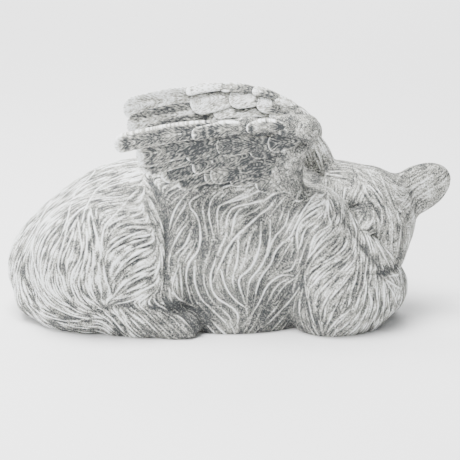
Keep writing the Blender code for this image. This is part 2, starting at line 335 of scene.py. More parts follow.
def lie(points, outward, comb):
    """Direction of the hair at places on the skin: read between the lattice's directions, and laid
    on the surface."""
    place = (points[:, [0, 2]] - (COMB_X[0], COMB_Z[0])) / COMB_STEP
    low = np.clip(place.astype(int), 0, np.array(comb.shape[:2]) - 2)
    i, j, (u, v) = low[:, 0], low[:, 1], np.clip(place - low, 0, 1).T[:, :, None]
    flat = ((comb[i, j] * (1 - u) + comb[i + 1, j] * u) * (1 - v)
            + (comb[i, j + 1] * (1 - u) + comb[i + 1, j + 1] * u) * v)
    way = np.stack([flat[:, 0], 0 * flat[:, 0], flat[:, 1]], 1)
    return unit(way - np.einsum("ij,ij->i", way, outward)[:, None] * outward)


def combed(points, outward, comb, size, length, step):
    """A lattice noise drawn out into strands: averaged along the lie of the hair, both ways, for a
    length, and scaled to unit spread."""
    total = lattice_noise(points, size, 1)
    for heading in (1, -1):
        walker = points
        for count in range(1, int(length / step) + 1):
            walker = walker + heading * step * lie(walker, outward, comb)
            fade = 0.5 + 0.5 * math.cos(math.pi * count * step / length)
            total = total + fade * lattice_noise(walker, size, 1)
    return total / total.std()


def laid(lines, reach_of):
    """Drawn lines laid on the viewer's side of a shape: their places move in until they meet it.
    Places that miss the shape are left out. Gives places, directions and strengths."""
    places, ways, strengths = [], [], []
    for line in lines:
        flat = eased(line)
        points = np.stack([flat[:, 0], 0 * flat[:, 0] + LAY_FROM, flat[:, 1]], 1)
        for _ in range(LAY_ROUNDS):
            points[:, 1] += np.clip(reach_of(points)[0], -2, 8) * 0.8
        share = np.linspace(0, 1, len(points))
        met = points[:, 1] < LAY_MISSED
        places.append(points[met])
        ways.append(unit(np.gradient(points, axis=0))[met])
        strengths.append((1.1 * np.sin(np.pi * (0.08 + 0.88 * share))**0.5)[met])
    return np.concatenate(places), np.concatenate(ways), np.concatenate(strengths)


def too_close(taken, place, gap):
    """Whether a place is nearer than the gap to one that is taken."""
    home = [math.floor(value / SPREAD_CELL) for value in place]
    for i, j, k in product((-1, 0, 1), repeat=3):
        for other in taken.get((home[0] + i, home[1] + j, home[2] + k), ()):
            if math.dist(other, place) < gap:
                return True
    return False


def take(taken, places):
    """Note places as taken."""
    for place in places:
        key = tuple(math.floor(value / SPREAD_CELL) for value in place)
        taken.setdefault(key, []).append(place)


def spread(seeds, reach_of, comb, gap_of, drawn, length, strength, seed):
    """Strands spread evenly over a skin: each seed grows a line both ways along the lie of the
    hair, and the line is kept up to where it comes close to one that is there. Drawn lines come
    first, and the grown ones have up to the given strength."""
    generator = np.random.default_rng(seed)
    steps = int(length / 2 / STRAND_STEP)
    grown = {}
    for heading in (1, -1):
        walker, path = seeds, [seeds]
        for _ in range(steps):
            outward = unit(reach_of(walker)[1])
            walker = walker + heading * STRAND_STEP * lie(walker, outward, comb)
            walker = settled(walker, reach_of, 1)
            path.append(walker)
        grown[heading] = np.stack(path, 1).tolist()
    gaps = gap_of(seeds).tolist()
    places, ways, strengths = [drawn[0]], [drawn[1]], [drawn[2]]
    taken = {}
    take(taken, drawn[0].tolist())
    for number in range(len(seeds)):
        gap = gaps[number]
        if too_close(taken, grown[1][number][0], gap):
            continue
        ahead, behind = (list(takewhile(lambda place: not too_close(taken, place, 0.6 * gap),
                                        grown[heading][number][1:])) for heading in (1, -1))
        line = behind[::-1] + [grown[1][number][0]] + ahead
        if len(line) < 5:
            continue
        take(taken, line)
        line = np.array(line)
        share = np.linspace(0, 1, len(line))
        places.append(line)
        ways.append(unit(np.gradient(line, axis=0)))
        fade = np.sin(np.pi * (0.1 + 0.85 * share))**0.6
        strengths.append(generator.uniform(0.4, 1.0) * strength * fade)
    return np.concatenate(places), np.concatenate(ways), np.concatenate(strengths)


def crests(points, strands, width):
    """Share of a strand's height at each place, by its distance from the nearest strand's line."""
    places, ways, strengths = strands
    tree = KDTree(len(places))
    for number, place in enumerate(places.tolist()):
        tree.insert(place, number)
    tree.balance()
    near = np.array([tree.find(place)[1] for place in points.tolist()])
    off = points - places[near]
    off -= np.einsum("ij,ij->i", off, ways[near])[:, None] * ways[near]
    return strengths[near] * np.exp(-np.einsum("ij,ij->i", off, off) / width**2)


def openness(points, outward, reach_of, depth):
    """How open the surface is: the field a little way out over that way, 1 on a bulge."""
    return np.clip(reach_of(points + outward * depth)[0] / depth, 0, 1.1)


def darks_levelled(tone):
    """Dark tones of wash and painted shade levelled off: below the knee an exponential that levels off
    at the floor.
    """
    room = DARK_KNEE - DARK_FLOOR
    levelled = DARK_FLOOR + room * np.exp(np.minimum(tone - DARK_KNEE, 0) / room)
    return np.where(tone < DARK_KNEE, levelled, tone)


# Meshes

def in_scene(name, data):
    """An object of that mesh, camera or light, in the scene."""
    item = bpy.data.objects.new(name, data)
    bpy.context.scene.collection.objects.link(item)
    return item


def new_piece(name, vertices, faces):
    """A smooth mesh object of numpy vertices, in the figure's millimetres, and faces."""
    mesh = bpy.data.meshes.new(name)
    mesh.from_pydata((vertices + STAND) * MM, [], faces)
    mesh.shade_smooth()
    return in_scene(name, mesh)


def paint(piece, tone, grain):
    """Keep the tone, of the paint and the painted shade, and the places in its grain in mm, in the
    mesh for the material.
    """
    layer = piece.data.attributes.new("tone", "FLOAT", "POINT")
    layer.data.foreach_set("value", np.asarray(darks_levelled(np.asarray(tone)), np.float32))
    layer = piece.data.attributes.new("grain", "FLOAT_VECTOR", "POINT")
    layer.data.foreach_set("vector", np.asarray(grain, np.float32).ravel())


def on_casting(piece):
    """The piece stands for the casting and takes its finish."""
    piece.data.materials.append(STONE)
    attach(piece, "root")
    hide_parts(CASTING)


def cut_off(shape, place, way):
    """Cut a skin at a plane, drop the side that the way points to, and close the cut. Where the cut
    meets the open rim of the skin, its ends are joined first, the neighbours along X together."""
    everything = list(shape.verts) + list(shape.edges) + list(shape.faces)
    cut = bmesh.ops.bisect_plane(shape, geom=everything, dist=1e-6, clear_outer=True,
                                 plane_co=(Vector(place) + Vector(STAND)) * MM, plane_no=way)
    edges = [item for item in cut["geom_cut"] if isinstance(item, bmesh.types.BMEdge)]
    uses = {}
    for edge in edges:
        for corner in edge.verts:
            uses[corner] = uses.get(corner, 0) + 1
    ends = sorted((corner for corner in uses if uses[corner] == 1), key=lambda corner: corner.co.x)
    for first, second in zip(ends[::2], ends[1::2]):
        edges.append(shape.edges.new((first, second)))
    for face in bmesh.ops.holes_fill(shape, edges=edges, sides=0)["faces"]:
        face.smooth = False
    for edge in edges:
        edge.smooth = False


def cut_into(source, cuts_by_name):
    """Pieces of a skin, each left by its own cuts: places and the ways that are dropped."""
    for name, cuts in cuts_by_name.items():
        shape = bmesh.new()
        shape.from_mesh(source.data)
        for place, way in cuts:
            cut_off(shape, place, way)
        mesh = bpy.data.meshes.new(name)
        shape.to_mesh(mesh)
        shape.free()
        on_casting(in_scene(name, mesh))
    bpy.data.objects.remove(source)


def coat_gap(places):
    """Distance between strands: wider on the flank and on the far side, and least on the ruff."""
    x, y, _ = places.T
    return 2.3 + 1.0 * flank_share(places) - 0.6 * ramp(x, 50, 62) + 1.5 * ramp(y, 5, 25)


def flank_share(places):
    """1 on the flank between haunch and ruff, where the hair is drawn thinly, and 0 elsewhere."""
    x, _, z = places.T
    haunch_side = -40 - 0.266 * (z - 48)
    return ramp(x, haunch_side, haunch_side + 8) * (1 - ramp(x, 44, 60)) * (1 - ramp(z, 88, 96))


def calm_share(places):
    """1 on the arms of the wings, which have a rough skin and no hair, 0 on the coat, and between
    the two on the worn patch high on the haunch."""
    x, _, z = places.T
    worn = 0.6 * np.exp(-((x + 68) / 15)**2 - ((z - 84) / 10)**2)
    return np.maximum(np.maximum(ramp(z, 90, 98) * ramp(x, 18, 28), ramp(z, 106, 112)), worn)


def amount(pair, flank):
    """An amount on the thick coat plus what the flank adds to it."""
    return pair[0] + pair[1] * flank


def shaded(tone, places, outward, reach_of):
    """Tones with painted shade: darker in small and great hollows, where the dark wash adds to it, and
    near the ground.
    """
    tone = tone - SMALL_SHADE * (1 - openness(places, outward, reach_of, SMALL_HOLLOW))
    tone = tone - GREAT_SHADE * (1 - openness(places, outward, reach_of, GREAT_HOLLOW))
    return tone - GROUND_SHADE * (1 - ramp(places[:, 2], -4, 42))


def carve(vertices, reach_of, comb, drawn, grooves, creases, gap_of, flank, calm, seed):
    """Skin carved with hair, and its tones. Height is ridges along the strands, less grooves along a
    second, wider spread of them, plus noise drawn out along the hair, or rough noise where it is
    calm, less the creases between the great locks. Tone goes with the height, and is dark in hollows
    and low down."""
    outward = unit(reach_of(vertices)[1])
    generator = np.random.default_rng(seed)
    seeds = vertices[generator.integers(0, len(vertices), len(vertices) // PLACES_PER_SEED)]
    ridge_lines = spread(seeds, reach_of, comb, gap_of, drawn, RIDGE_LENGTH, 1.0, seed)
    groove_lines = spread(seeds[::-3], reach_of, comb, lambda p: GROOVE_GAP * gap_of(p), grooves,
                          GROOVE_LENGTH, 0.7, seed)
    crease_lines, crease_width, crease_depth = creases
    ridge = crests(vertices, ridge_lines, RIDGE_WIDTH)
    groove = crests(vertices, groove_lines, GROOVE_WIDTH)
    crease = crests(vertices, crease_lines, crease_width)
    fine = combed(vertices, outward, comb, 1.1, 5.5, 1.0)
    broad = np.tanh(combed(vertices, outward, comb, 8.0, 18.0, 3.0))
    rough = lattice_noise(vertices, 1.6, seed + 5) + 0.6 * lattice_noise(vertices, 4.0, seed + 6)
    brushed = np.clip(0.5 + 0.6 * lattice_noise(vertices, 14.0, seed + 7), 0, 1)
    height = amount(RIDGE_RISE, flank) * ridge - amount(GROOVE_DEPTH, flank) * groove
    height += amount(FINE_RISE, flank) * fine + amount(BROAD_RISE, flank) * broad
    height = height * (1 - calm) + ROUGH_RISE * rough * calm - crease_depth * crease
    hair = amount(RIDGE_TONE, flank) * ridge - amount(GROOVE_TONE, flank) * groove
    hair += amount(FINE_TONE, flank) * fine + BROAD_TONE * broad
    haunch = 1 - ramp(vertices[:, 0], -60, -35)
    hair *= 1 + HAUNCH_CONTRAST * haunch
    tone = amount(COAT_TONE, flank) + hair * (1 - calm) + ROUGH_TONE * rough * calm
    tone -= HAUNCH_TOP_SHADE * haunch * ramp(vertices[:, 2], 60, 90)
    tone += EAR_TONE * ramp(vertices[:, 0], 112, 120)
    tone += BRUSHED_TONE * (brushed - 0.5) - CREASE_TONE * crease_depth * crease
    # the tone carries painted shade in hollows, where the dark wash is too, and near the ground
    return vertices + outward * height[:, None], shaded(tone, vertices, outward, reach_of)


def carved(name, reach_of, low, high, cell, comb, lines, gap_of, flank_of, calm_of, seed):
    """A shape's skin between two corners, carved and painted."""
    vertices, quads = skin(reach_of, low, high, cell)
    vertices = settled(vertices, reach_of)
    vertices, tone = carve(vertices, reach_of, comb, *lines, gap_of, flank_of(vertices),
                           calm_of(vertices), seed)
    piece = new_piece(name, vertices, quads)
    paint(piece, tone, vertices)
    return piece


def make_coat():
    """Body, legs, tail and wing arms: the zero level of the coat's field, carved. The viewer's side
    is three pieces that part in the creases behind the haunch and the ruff, and the far side one
    piece of wider cells."""
    floor, far_side = ((0, 0, 0), (0, 0, -1)), ((0, FAR_SIDE, 0), (0, 1, 0))
    behind, before = ((-42, 0, 48), (-0.966, 0, -0.257)), ((-42, 0, 48), (0.966, 0, 0.257))
    left, right = ((46, 0, 40), (-1, 0, 0)), ((46, 0, 40), (1, 0, 0))
    lines = (laid(COAT_LINES, coat_reach), laid(COAT_GROOVES, coat_reach),
             (laid(COAT_CREASES, coat_reach), *COAT_CREASE))
    coat = (combing(COAT_LINES + CREASE_LIE), lines, coat_gap,
            lambda places: amount(COAT_FLANK, flank_share(places)), calm_share)
    near = carved("near side", coat_reach, (-158, -80, -4), (132, FAR_SIDE + 2, 152), COAT_CELL,
                  *coat, 3)
    cut_into(near, {"haunch": (floor, far_side, before), "flank": (floor, far_side, behind, right),
                    "ruff": (floor, far_side, left)})
    far = carved("far side", coat_reach, (-158, FAR_SIDE - 2, -4), (132, 76, 152), FAR_CELL,
                 *coat, 4)
    cut_into(far, {"far_coat": (floor, ((0, FAR_SIDE, 0), (0, -1, 0)))})


def make_head():
    """Head and ears: the zero level of the head's field, carved, with the closed eyes, the nose and
    the mouth drawn in as creases."""
    lines = (laid(HEAD_LINES, head_reach), laid(HEAD_GROOVES, head_reach),
             (laid(HEAD_CREASES, head_reach), *HEAD_CREASE))
    on_casting(carved("head", head_reach, (36, -48, 16), (158, 44, 136), HEAD_CELL,
                      combing(HEAD_LINES), lines, lambda places: 1.6 + 0 * places[:, 0],
                      lambda places: COAT_FLANK[0] + 0 * places[:, 0],
                      lambda places: 0.35 + 0.1 * ramp(places[:, 0], 108, 118), 5))


# Wings

# Middle of a wing's arm, from the shoulder over the wrist along the rim: x, height and radius.
NEAR_ARM = ((35, 84, 14.5), (36, 98, 11), (37, 109, 10), (40, 119, 8.5), (46, 129, 7.5),
            (48.5, 136, 9), (38, 139, 6), (12, 140, 4), (-14, 140, 2.5))
FAR_ARM = ((38, 84, 14.5), (50, 102, 12), (53, 115, 10.5), (46, 124, 8), (34, 133, 6), (12, 139, 4),
           (-14, 142, 2.5))
WING_SIDE, WING_FOOT, WING_LEAN, WING_BEND = 36.9, 95.1, 0.28, 3.3

FEATHER_BOW, FEATHER_LIFT = 0.04, 1.5  # bow as a share of the length, and lift of the lower edge, mm
SECTION_GAP, CORNER_GAP = 0.8, 0.75  # between a blade's sections, and between their corners, mm
BARB_PITCH, BARB_SIZE, PATCH_SIZE, SHAFT_WIDTH = 1.7, 1.3, 5.0, 0.8  # mm
BARB_SHORTENED = 0.28  # scale of the noise along a barb
SHADE_WIDTH, FEATHER_SHADE = 1.3, 0.36  # of the painted shadow beside the feathers above, mm and tone
OUTER_SHADE, RIM_SHADE, RIM_Z = 0.01, 0.16, 137  # tones of painted shade, on the outward face and more under the rim, and where the second one ends, mm
BARB_RISE, SHAFT_RISE, PATCH_RISE = 0.32, 0.45, 0.3  # mm
BARB_TONE, SHAFT_TONE, PATCH_TONE = 0.20, 0.24, 0.14


def wing_place(flat, rise, side):
    """Point in space of a place (x, z) on a wing's leaning sheet, raised off its middle."""
    x, z = flat[..., 0], flat[..., 1]
    bow = WING_BEND * (1 - ((x + 12) / 66)**2)
    lean = 1 / math.hypot(1, WING_LEAN)
    y = WING_SIDE + (z - WING_FOOT) * WING_LEAN + bow + rise * lean
    return np.stack([x + 0 * y, side * y, z - rise * lean * WING_LEAN], -1)


def outline_share(share, slim):
    """Half width of a feather along its length, as a share of its greatest: a round tip and root,
    for a feather whose length is so many times its half width."""
    tip_round = np.sqrt(np.clip(1 - np.clip(1 + (share - 1) * slim, 0, 1)**2, 0, 1))
    root_round = np.sqrt(np.clip(1 - np.clip(1 - share * slim, 0, 1)**2, 0, 1))
    return tip_round * root_round * (0.72 + 0.28 * ramp(share, 0.0, 0.6))


def beyond(flat, feather):
    """Distance of places on a wing's sheet from a feather's outline, less than 0 inside it."""
    root, tip, width = np.array(feather[0], float), np.array(feather[1], float), feather[2]
    line = tip - root
    length = np.hypot(*line)
    share = (flat - root) @ line / length**2
    off = (flat - root) @ np.array([-line[1], line[0]]) / length
    off = off + FEATHER_BOW * length * np.sin(np.pi * np.clip(share, 0, 1))
    half = width / 2 * outline_share(np.clip(share, 0, 1), 2 * length / width)
    return np.maximum(np.abs(off) - half, np.maximum(share - 1, -share) * length)


def tube_faces(stations, corners):
    """Quads between rings of corners, and fans that close the ends onto the two vertices after
    them."""
    index = np.arange(stations * corners).reshape(stations, corners)
    following = np.roll(index, -1, axis=1)
    quads = np.stack([index[:-1], following[:-1], following[1:], index[1:]], -1).reshape(-1, 4)
    first = np.stack([following[0], index[0], np.full(corners, stations * corners)], -1)
    last = np.stack([index[-1], following[-1], np.full(corners, stations * corners + 1)], -1)
    return quads.tolist() + first.tolist() + last.tolist()


def blade(feather, side, face, above, look, seed):
    """One feather, a root, a tip, a width, a thickness and a rise off the sheet. Its sections are
    flat ovals carried along a bowed line; a shaft stands proud down the middle, slanting barbs run
    off it, its lower edge lifts off the feather below, and it is darkest beside those above it."""
    root, tip, width, thickness, rise = feather
    base, cross, even, rim = look
    root, tip = np.array(root, float), np.array(tip, float)
    line = tip - root
    length = np.hypot(*line)
    across = np.array([-line[1], line[0]]) / length
    stations, corners = max(int(length / SECTION_GAP), 18), 2 * max(int(width / CORNER_GAP), 10)
    share = (1 - np.cos(np.linspace(0, np.pi, stations + 2)[1:-1])) / 2
    angle = np.linspace(0, 2 * np.pi, corners, endpoint=False)
    share, angle = np.meshgrid(share, angle, indexing="ij")
    full = outline_share(share, 2 * length / width)
    across_share, front = np.cos(angle), np.sin(angle)
    off = width / 2 * full * across_share
    bow = FEATHER_BOW * length * np.sin(np.pi * share)
    flat = root + line * share[..., None] + across * (off - bow)[..., None]
    fade = full * (1 - across_share**2)**0.8
    barb = math.sin(cross) * share * length - math.cos(cross) * np.abs(off)
    drawn_out = math.cos(cross) * share * length + math.sin(cross) * np.abs(off)
    place = np.stack([barb, BARB_SHORTENED * drawn_out, 0 * off + 7 * seed], -1).reshape(-1, 3)
    barbs = lattice_noise(place, BARB_SIZE, seed).reshape(off.shape)
    patch = lattice_noise(place, PATCH_SIZE, seed + 1).reshape(off.shape)
    stroke = share * length - 0.5 * np.abs(off)
    barbs = barbs * 0.8 + even * ramp(patch, 0.1, 0.3) * np.sin(2 * np.pi * stroke / BARB_PITCH + seed)
    shaft = np.exp(-(off / SHAFT_WIDTH)**2) * (1 - 0.7 * share) * 0.6
    relief = (BARB_RISE * barbs * (1 - shaft) + SHAFT_RISE * shaft + PATCH_RISE * patch) * fade
    oval = thickness / 2 * full**0.5 * np.abs(front)**0.4 * (1 + 0.3 * across_share**4)
    lift = face * FEATHER_LIFT * across_share * full
    places = wing_place(flat, rise + np.sign(front) * (oval + relief) + lift, side)
    tone = base + (BARB_TONE * barbs + SHAFT_TONE * shaft + PATCH_TONE * patch) * fade
    tone += rim * (np.abs(across_share)**7 + 1.1 * ramp(share, 0.92, 0.99))
    # painted shadow cast by the feathers that lie above this one
    shade = [np.exp(-np.maximum(beyond(flat, other), 0) / SHADE_WIDTH) for other in above]
    tone -= FEATHER_SHADE * np.max([0 * tone] + shade, axis=0)
    ends = [wing_place(root, rise, side), wing_place(tip, rise, side)]
    vertices = np.concatenate([places.reshape(-1, 3), ends])
    tones = np.concatenate([tone.ravel(), [0.5, 0.8]])
    grain = np.concatenate([place, place[:1], place[-1:]])
    faces = tube_faces(stations, corners)
    if side > 0:
        faces = [face_corners[::-1] for face_corners in faces]
    return vertices, faces, tones, grain


def make_wing(name, side, flights, coverts, rim, look):
    """All feathers of one wing: the flight feathers, each under the one before it, the coverts over
    them on both faces, and those along the rim on the face that the viewer sees."""
    layers = [(feather, 1, flights[:number] + coverts + rim)
              for number, feather in enumerate(flights)]
    for face in (1, -1):
        laid_on = coverts + rim if face == -side else coverts
        for root, tip, width, thickness, rise in laid_on:
            above = [other for other in laid_on if other[4] > rise]
            layers.append(((root, tip, width, thickness, face * rise), face, above))
    vertices, faces, tones, grains, count = [], [], [], [], 0
    for seed, (feather, face, above) in enumerate(layers):
        part, part_faces, tone, grain = blade(feather, side, face, above, look, seed)
        faces += [[corner + count for corner in corners] for corners in part_faces]
        vertices.append(part)
        tones.append(tone)
        grains.append(grain)
        count += len(part)
    vertices, tones = np.concatenate(vertices), np.concatenate(tones)
    # painted shade on the face that leans outward, away from the light, and more under the overhanging
    # rim, where the dark wash is too
    middle = wing_place(vertices[:, [0, 2]], 0.0, side)[:, 1]
    outer = ramp((vertices[:, 1] - middle) * side, 0.5, 2.0)
    x, _, z = vertices.T
    under_rim = np.exp(-((z - 131 - 0.12 * x) / 7)**2) * ramp(x, -50, -5) * (1 - ramp(x, 44, 52))
    tones = tones - outer * (OUTER_SHADE + RIM_SHADE * under_rim * (z < RIM_Z))
    piece = new_piece(name, vertices, faces)
    paint(piece, tones, np.concatenate(grains))
    on_casting(piece)


# Material

GRIT_SIZE, CLOUD_SIZE, GRIT_RISE = 0.75, 16, 0.45  # mm
GRIT_TONE, CLOUD_TONE = 1.6, 0.36  # tones that the two patterns span
TONE_GAIN, TONE_SHIFT = 1.55, -0.325  # contrast
DARKEST, PALEST = (0.0, "3A3C3E"), (0.92, "F4F6F7")
BETWEEN = (0.20, "6E6F6D"), (0.42, "9D9C93"), (0.60, "C0C0BA"), (0.76, "DEE0E0")


def linear(code):
    """Linear colour of an sRGB hex code."""
    parts = [int(code[place:place + 2], 16) / 255 for place in (0, 2, 4)]
    parts = [part / 12.92 if part <= 0.04045 else ((part + 0.055) / 1.055)**2.4 for part in parts]
    return (*parts, 1.0)


def add(tree, kind, settings=(), links=()):
    """Add a node, set its values by name or socket number, and link its sockets."""
    node = tree.nodes.new(kind)
    for key, value in dict(settings).items():
        if isinstance(key, int) or key in node.inputs:
            node.inputs[key].default_value = value
        else:
            setattr(node, key, value)
    for key, output in dict(links).items():
        tree.links.new(output, node.inputs[key])
    return node


def worked_out(tree, operation, *terms):
    """Output of a math node. Its terms are other nodes' outputs, or numbers."""
    numbers = {slot: term for slot, term in enumerate(terms) if isinstance(term, float)}
    outputs = {slot: term for slot, term in enumerate(terms) if slot not in numbers}
    return add(tree, "ShaderNodeMath", {"operation": operation, **numbers}, outputs).outputs[0]


def cast_stone():
    """Stone powder and resin, cast and left matt, with a dark wash wiped into the carving and a
    pale grey dry-brushed over its ridges. The colour goes from warm dark greys to cool whites with
    the mesh's tone, which holds painted shade as well as the paint, plus grit and a faint cloud."""
    material = bpy.data.materials.new("cast stone mix, washed and dry-brushed, with painted shade")
    material.use_nodes = True
    tree = material.node_tree
    shader = tree.nodes["Principled BSDF"]
    place = add(tree, "ShaderNodeTexCoord").outputs["Object"]
    tone = add(tree, "ShaderNodeAttribute", {"attribute_name": "tone"}).outputs["Fac"]
    grain = add(tree, "ShaderNodeAttribute", {"attribute_name": "grain"}).outputs["Vector"]
    grit = add(tree, "ShaderNodeTexNoise",
               {"Scale": 1 / GRIT_SIZE, "Detail": 3.0, "Roughness": 0.6}, {"Vector": grain})
    cloud = add(tree, "ShaderNodeTexNoise", {"Scale": 1 / (CLOUD_SIZE * MM), "Detail": 3.0},
                {"Vector": place})
    grit_tone = worked_out(tree, "MULTIPLY_ADD", grit.outputs["Fac"], GRIT_TONE, -GRIT_TONE / 2)
    cloud_tone = worked_out(tree, "MULTIPLY_ADD", cloud.outputs["Fac"], CLOUD_TONE, -CLOUD_TONE / 2)
    summed = worked_out(tree, "ADD", worked_out(tree, "ADD", tone, grit_tone), cloud_tone)
    steeper = worked_out(tree, "MULTIPLY_ADD", summed, TONE_GAIN, TONE_SHIFT)
    ramp_node = add(tree, "ShaderNodeValToRGB", links={"Fac": steeper})
    stops = ramp_node.color_ramp.elements
    for stop, (position, code) in zip(stops, (DARKEST, PALEST)):
        stop.position, stop.color = position, linear(code)
    for position, code in BETWEEN:
        stops.new(position).color = linear(code)
    tree.links.new(ramp_node.outputs["Color"], shader.inputs["Base Color"])
    bump = add(tree, "ShaderNodeBump", {"Strength": 0.7, "Distance": GRIT_RISE * MM},
               {"Height": grit.outputs["Fac"]})
    tree.links.new(bump.outputs["Normal"], shader.inputs["Normal"])
    for socket, value in (("Roughness", 0.85), ("IOR", 1.48), ("Specular IOR Level", 0.3)):
        shader.inputs[socket].default_value = value
    return material


# Stage

def add_light(name, place, size, power, aim=(0, 0, 0.06)):
    """A soft square light that looks at the statue, or at another place."""
    light = bpy.data.lights.new(name, "AREA")
    light.energy, light.size = power, size
    item = in_scene(name, light)
    item.location = place
    item.rotation_euler = (Vector(aim) - Vector(place)).to_track_quat("-Z", "Y").to_euler()


def make_stage():
    """Camera at the photograph's angle, pale floor and soft studio light."""
    camera = bpy.data.cameras.new("camera")
    camera.sensor_width, camera.lens = 36, CAMERA_LENS
    item = in_scene("camera", camera)
    rise = math.radians(CAMERA_RISE)
    target = (np.array(CAMERA_TARGET) + STAND) * MM
    item.location = target + CAMERA_AWAY * MM * np.array([0, -math.cos(rise), math.sin(rise)])
    item.rotation_euler = (math.pi / 2 - rise, 0, 0)
    bpy.context.scene.camera = item
    floor = bpy.data.meshes.new("floor")
    floor.from_pydata([(-6, -6, 0), (6, -6, 0), (6, 6, 0), (-6, 6, 0)], [], [(0, 1, 2, 3)])
    paper = bpy.data.materials.new("white paper sweep")
    paper.use_nodes = True
    shader = paper.node_tree.nodes["Principled BSDF"]
    shader.inputs["Base Color"].default_value = linear("F7F7F7")
    shader.inputs["Roughness"].default_value = 0.9
    floor.materials.append(paper)
    in_scene("floor", floor)
    world = bpy.data.worlds.new("studio")
    world.use_nodes = True
    sky = world.node_tree.nodes["Background"]
    sky.inputs["Color"].default_value = linear("F4F6F8")
    sky.inputs["Strength"].default_value = 0.52
    bpy.context.scene.world = world
    add_light("overhead", (-0.35, -0.1, 1.3), 0.9, 60)
    add_light("front", (-1.1, -1.4, 1.0), 0.8, 26)
    add_light("backdrop", (0, 2.4, 2.0), 2.5, 170, (0, 3.0, 0))


# Strands read off the photograph: x and height in mm on the side view, from root to tip.
COAT_LINES = (
    ((-18, 91), (-25, 87), (-26, 83), (-20, 78), (-18, 65), (-20, 56), (-26, 50), (-29, 39),
     (-24, 21)),
    ((-5, 94), (-11, 89), (-13, 83), (-13, 77), (-10, 67)),
    ((7, 91), (-2, 86), (-7, 84), (-8, 77), (-7, 71)),
    ((19, 94), (8, 89), (-1, 86)),
    ((21, 88), (15, 86), (4, 84), (-1, 79), (-2, 71)),
    ((12, 84), (5, 81), (3, 74), (2, 69)),
    ((29, 88), (25, 82), (14, 74), (1, 63), (-6, 48), (-10, 38)),
    ((21, 71), (20, 58), (15, 46), (8, 41), (6, 37), (8, 30), (12, 19)),
    ((6, 65), (6, 54), (5, 48), (2, 40), (3, 34)),
    ((27, 75), (27, 65), (24, 52), (19, 44), (14, 39), (12, 31), (12, 22)),
    ((39, 82), (37, 72), (28, 63), (24, 50)),
    ((42, 68), (30, 56), (28, 48), (20, 39), (18, 31), (16, 19)),
    ((-5, 44), (-2, 32), (5, 23), (12, 19), (12, 12)),
    ((-9, 51), (-13, 38), (-9, 26), (0, 21), (6, 16), (6, 8)),
    ((-22, 48), (-23, 38), (-19, 25), (-10, 17), (-1, 8)),
    ((-33, 48), (-37, 39), (-36, 30), (-28, 21), (-22, 19)),
    ((41, 40), (33, 40), (25, 34), (21, 24), (17, 17), (10, 7)),
    ((45, 31), (40, 21), (33, 14), (23, 5)),
    ((-28, 90), (-33, 85), (-37, 78), (-39, 70)),
    ((-27, 74), (-32, 68), (-37, 59)),
    ((-25, 69), (-28, 60), (-35, 55)),
    ((-65, 105), (-83, 103), (-94, 94), (-104, 85), (-105, 76), (-110, 65), (-114, 57), (-121, 33)),
    ((-61, 102), (-76, 97), (-90, 89), (-95, 80), (-94, 73)),
    ((-60, 92), (-72, 82), (-80, 76), (-82, 68), (-81, 57)),
    ((-55, 71), (-65, 69), (-75, 64), (-80, 56)),
    ((-52, 61), (-65, 56), (-73, 47), (-76, 40)),
    ((-49, 49), (-58, 46), (-69, 40), (-74, 32)),
    ((-49, 38), (-60, 33), (-69, 29), (-74, 30)),
    ((-90, 83), (-85, 70), (-81, 56), (-80, 47), (-76, 33)),
    ((-98, 78), (-95, 66), (-94, 59), (-100, 47), (-103, 38), (-97, 25), (-88, 18)),
    ((-104, 75), (-108, 60), (-111, 49), (-107, 41), (-106, 35)),
    ((-127, 67), (-130, 52), (-126, 42), (-121, 33), (-114, 26), (-101, 20), (-90, 15)),
    ((-134, 34), (-128, 27), (-116, 19), (-98, 13), (-88, 14)),
    ((-137, 19), (-131, 13), (-121, 11), (-104, 9), (-91, 13)),
    ((-112, 82), (-123, 73), (-131, 61), (-139, 46), (-143, 31)),
    ((-84, 22), (-74, 12), (-68, 2)), ((-62, 21), (-52, 12), (-44, 2)),
    ((-46, 21), (-34, 13), (-26, 3)),
    ((59, 93), (53, 88), (48, 82), (45, 76), (39, 64)),
    ((59, 84), (51, 80), (45, 74), (44, 67), (45, 59)),
    ((62, 82), (56, 76), (49, 72), (47, 63), (45, 57)),
    ((69, 79), (65, 73), (57, 70), (54, 64), (52, 55), (48, 45)),
    ((70, 72), (63, 66), (57, 60), (52, 54), (49, 48), (49, 37), (51, 26)),
    ((77, 67), (76, 60), (68, 54), (56, 48), (51, 43)),
    ((74, 54), (63, 46), (57, 39), (52, 34), (52, 27)),
    ((79, 51), (70, 44), (63, 37), (58, 31), (56, 25)),
    ((82, 48), (75, 38), (66, 29), (62, 21), (62, 13)),
    ((84, 53), (83, 42), (80, 34), (78, 27), (77, 21)),
    ((91, 56), (89, 45), (88, 35), (84, 29), (83, 22)),
    ((94, 44), (91, 37), (91, 30), (94, 23), (92, 16)),
    ((98, 38), (96, 30), (98, 23), (97, 15), (95, 6)),
    ((103, 37), (110, 31), (116, 24)), ((103, 36), (109, 25), (112, 13)),
    ((102, 36), (105, 22), (106, 10)), ((101, 36), (102, 22), (101, 8)),
    ((104, 39), (111, 38), (117, 34)), ((88, 24), (82, 13), (76, 6)),
    ((78, 20), (70, 14), (65, 5)), ((52, 26), (54, 15), (58, 5)),
    ((65, 90), (64, 80), (67, 73)), ((30, 102), (0, 104), (-53, 102)),
    ((46, 92), (50, 118)), ((50, 124), (36, 138)))
CREASE_LIE = (((-55, 99), (-44, 78), (-42, 56), (-44, 38)),)  # combs the hair, and is no strand
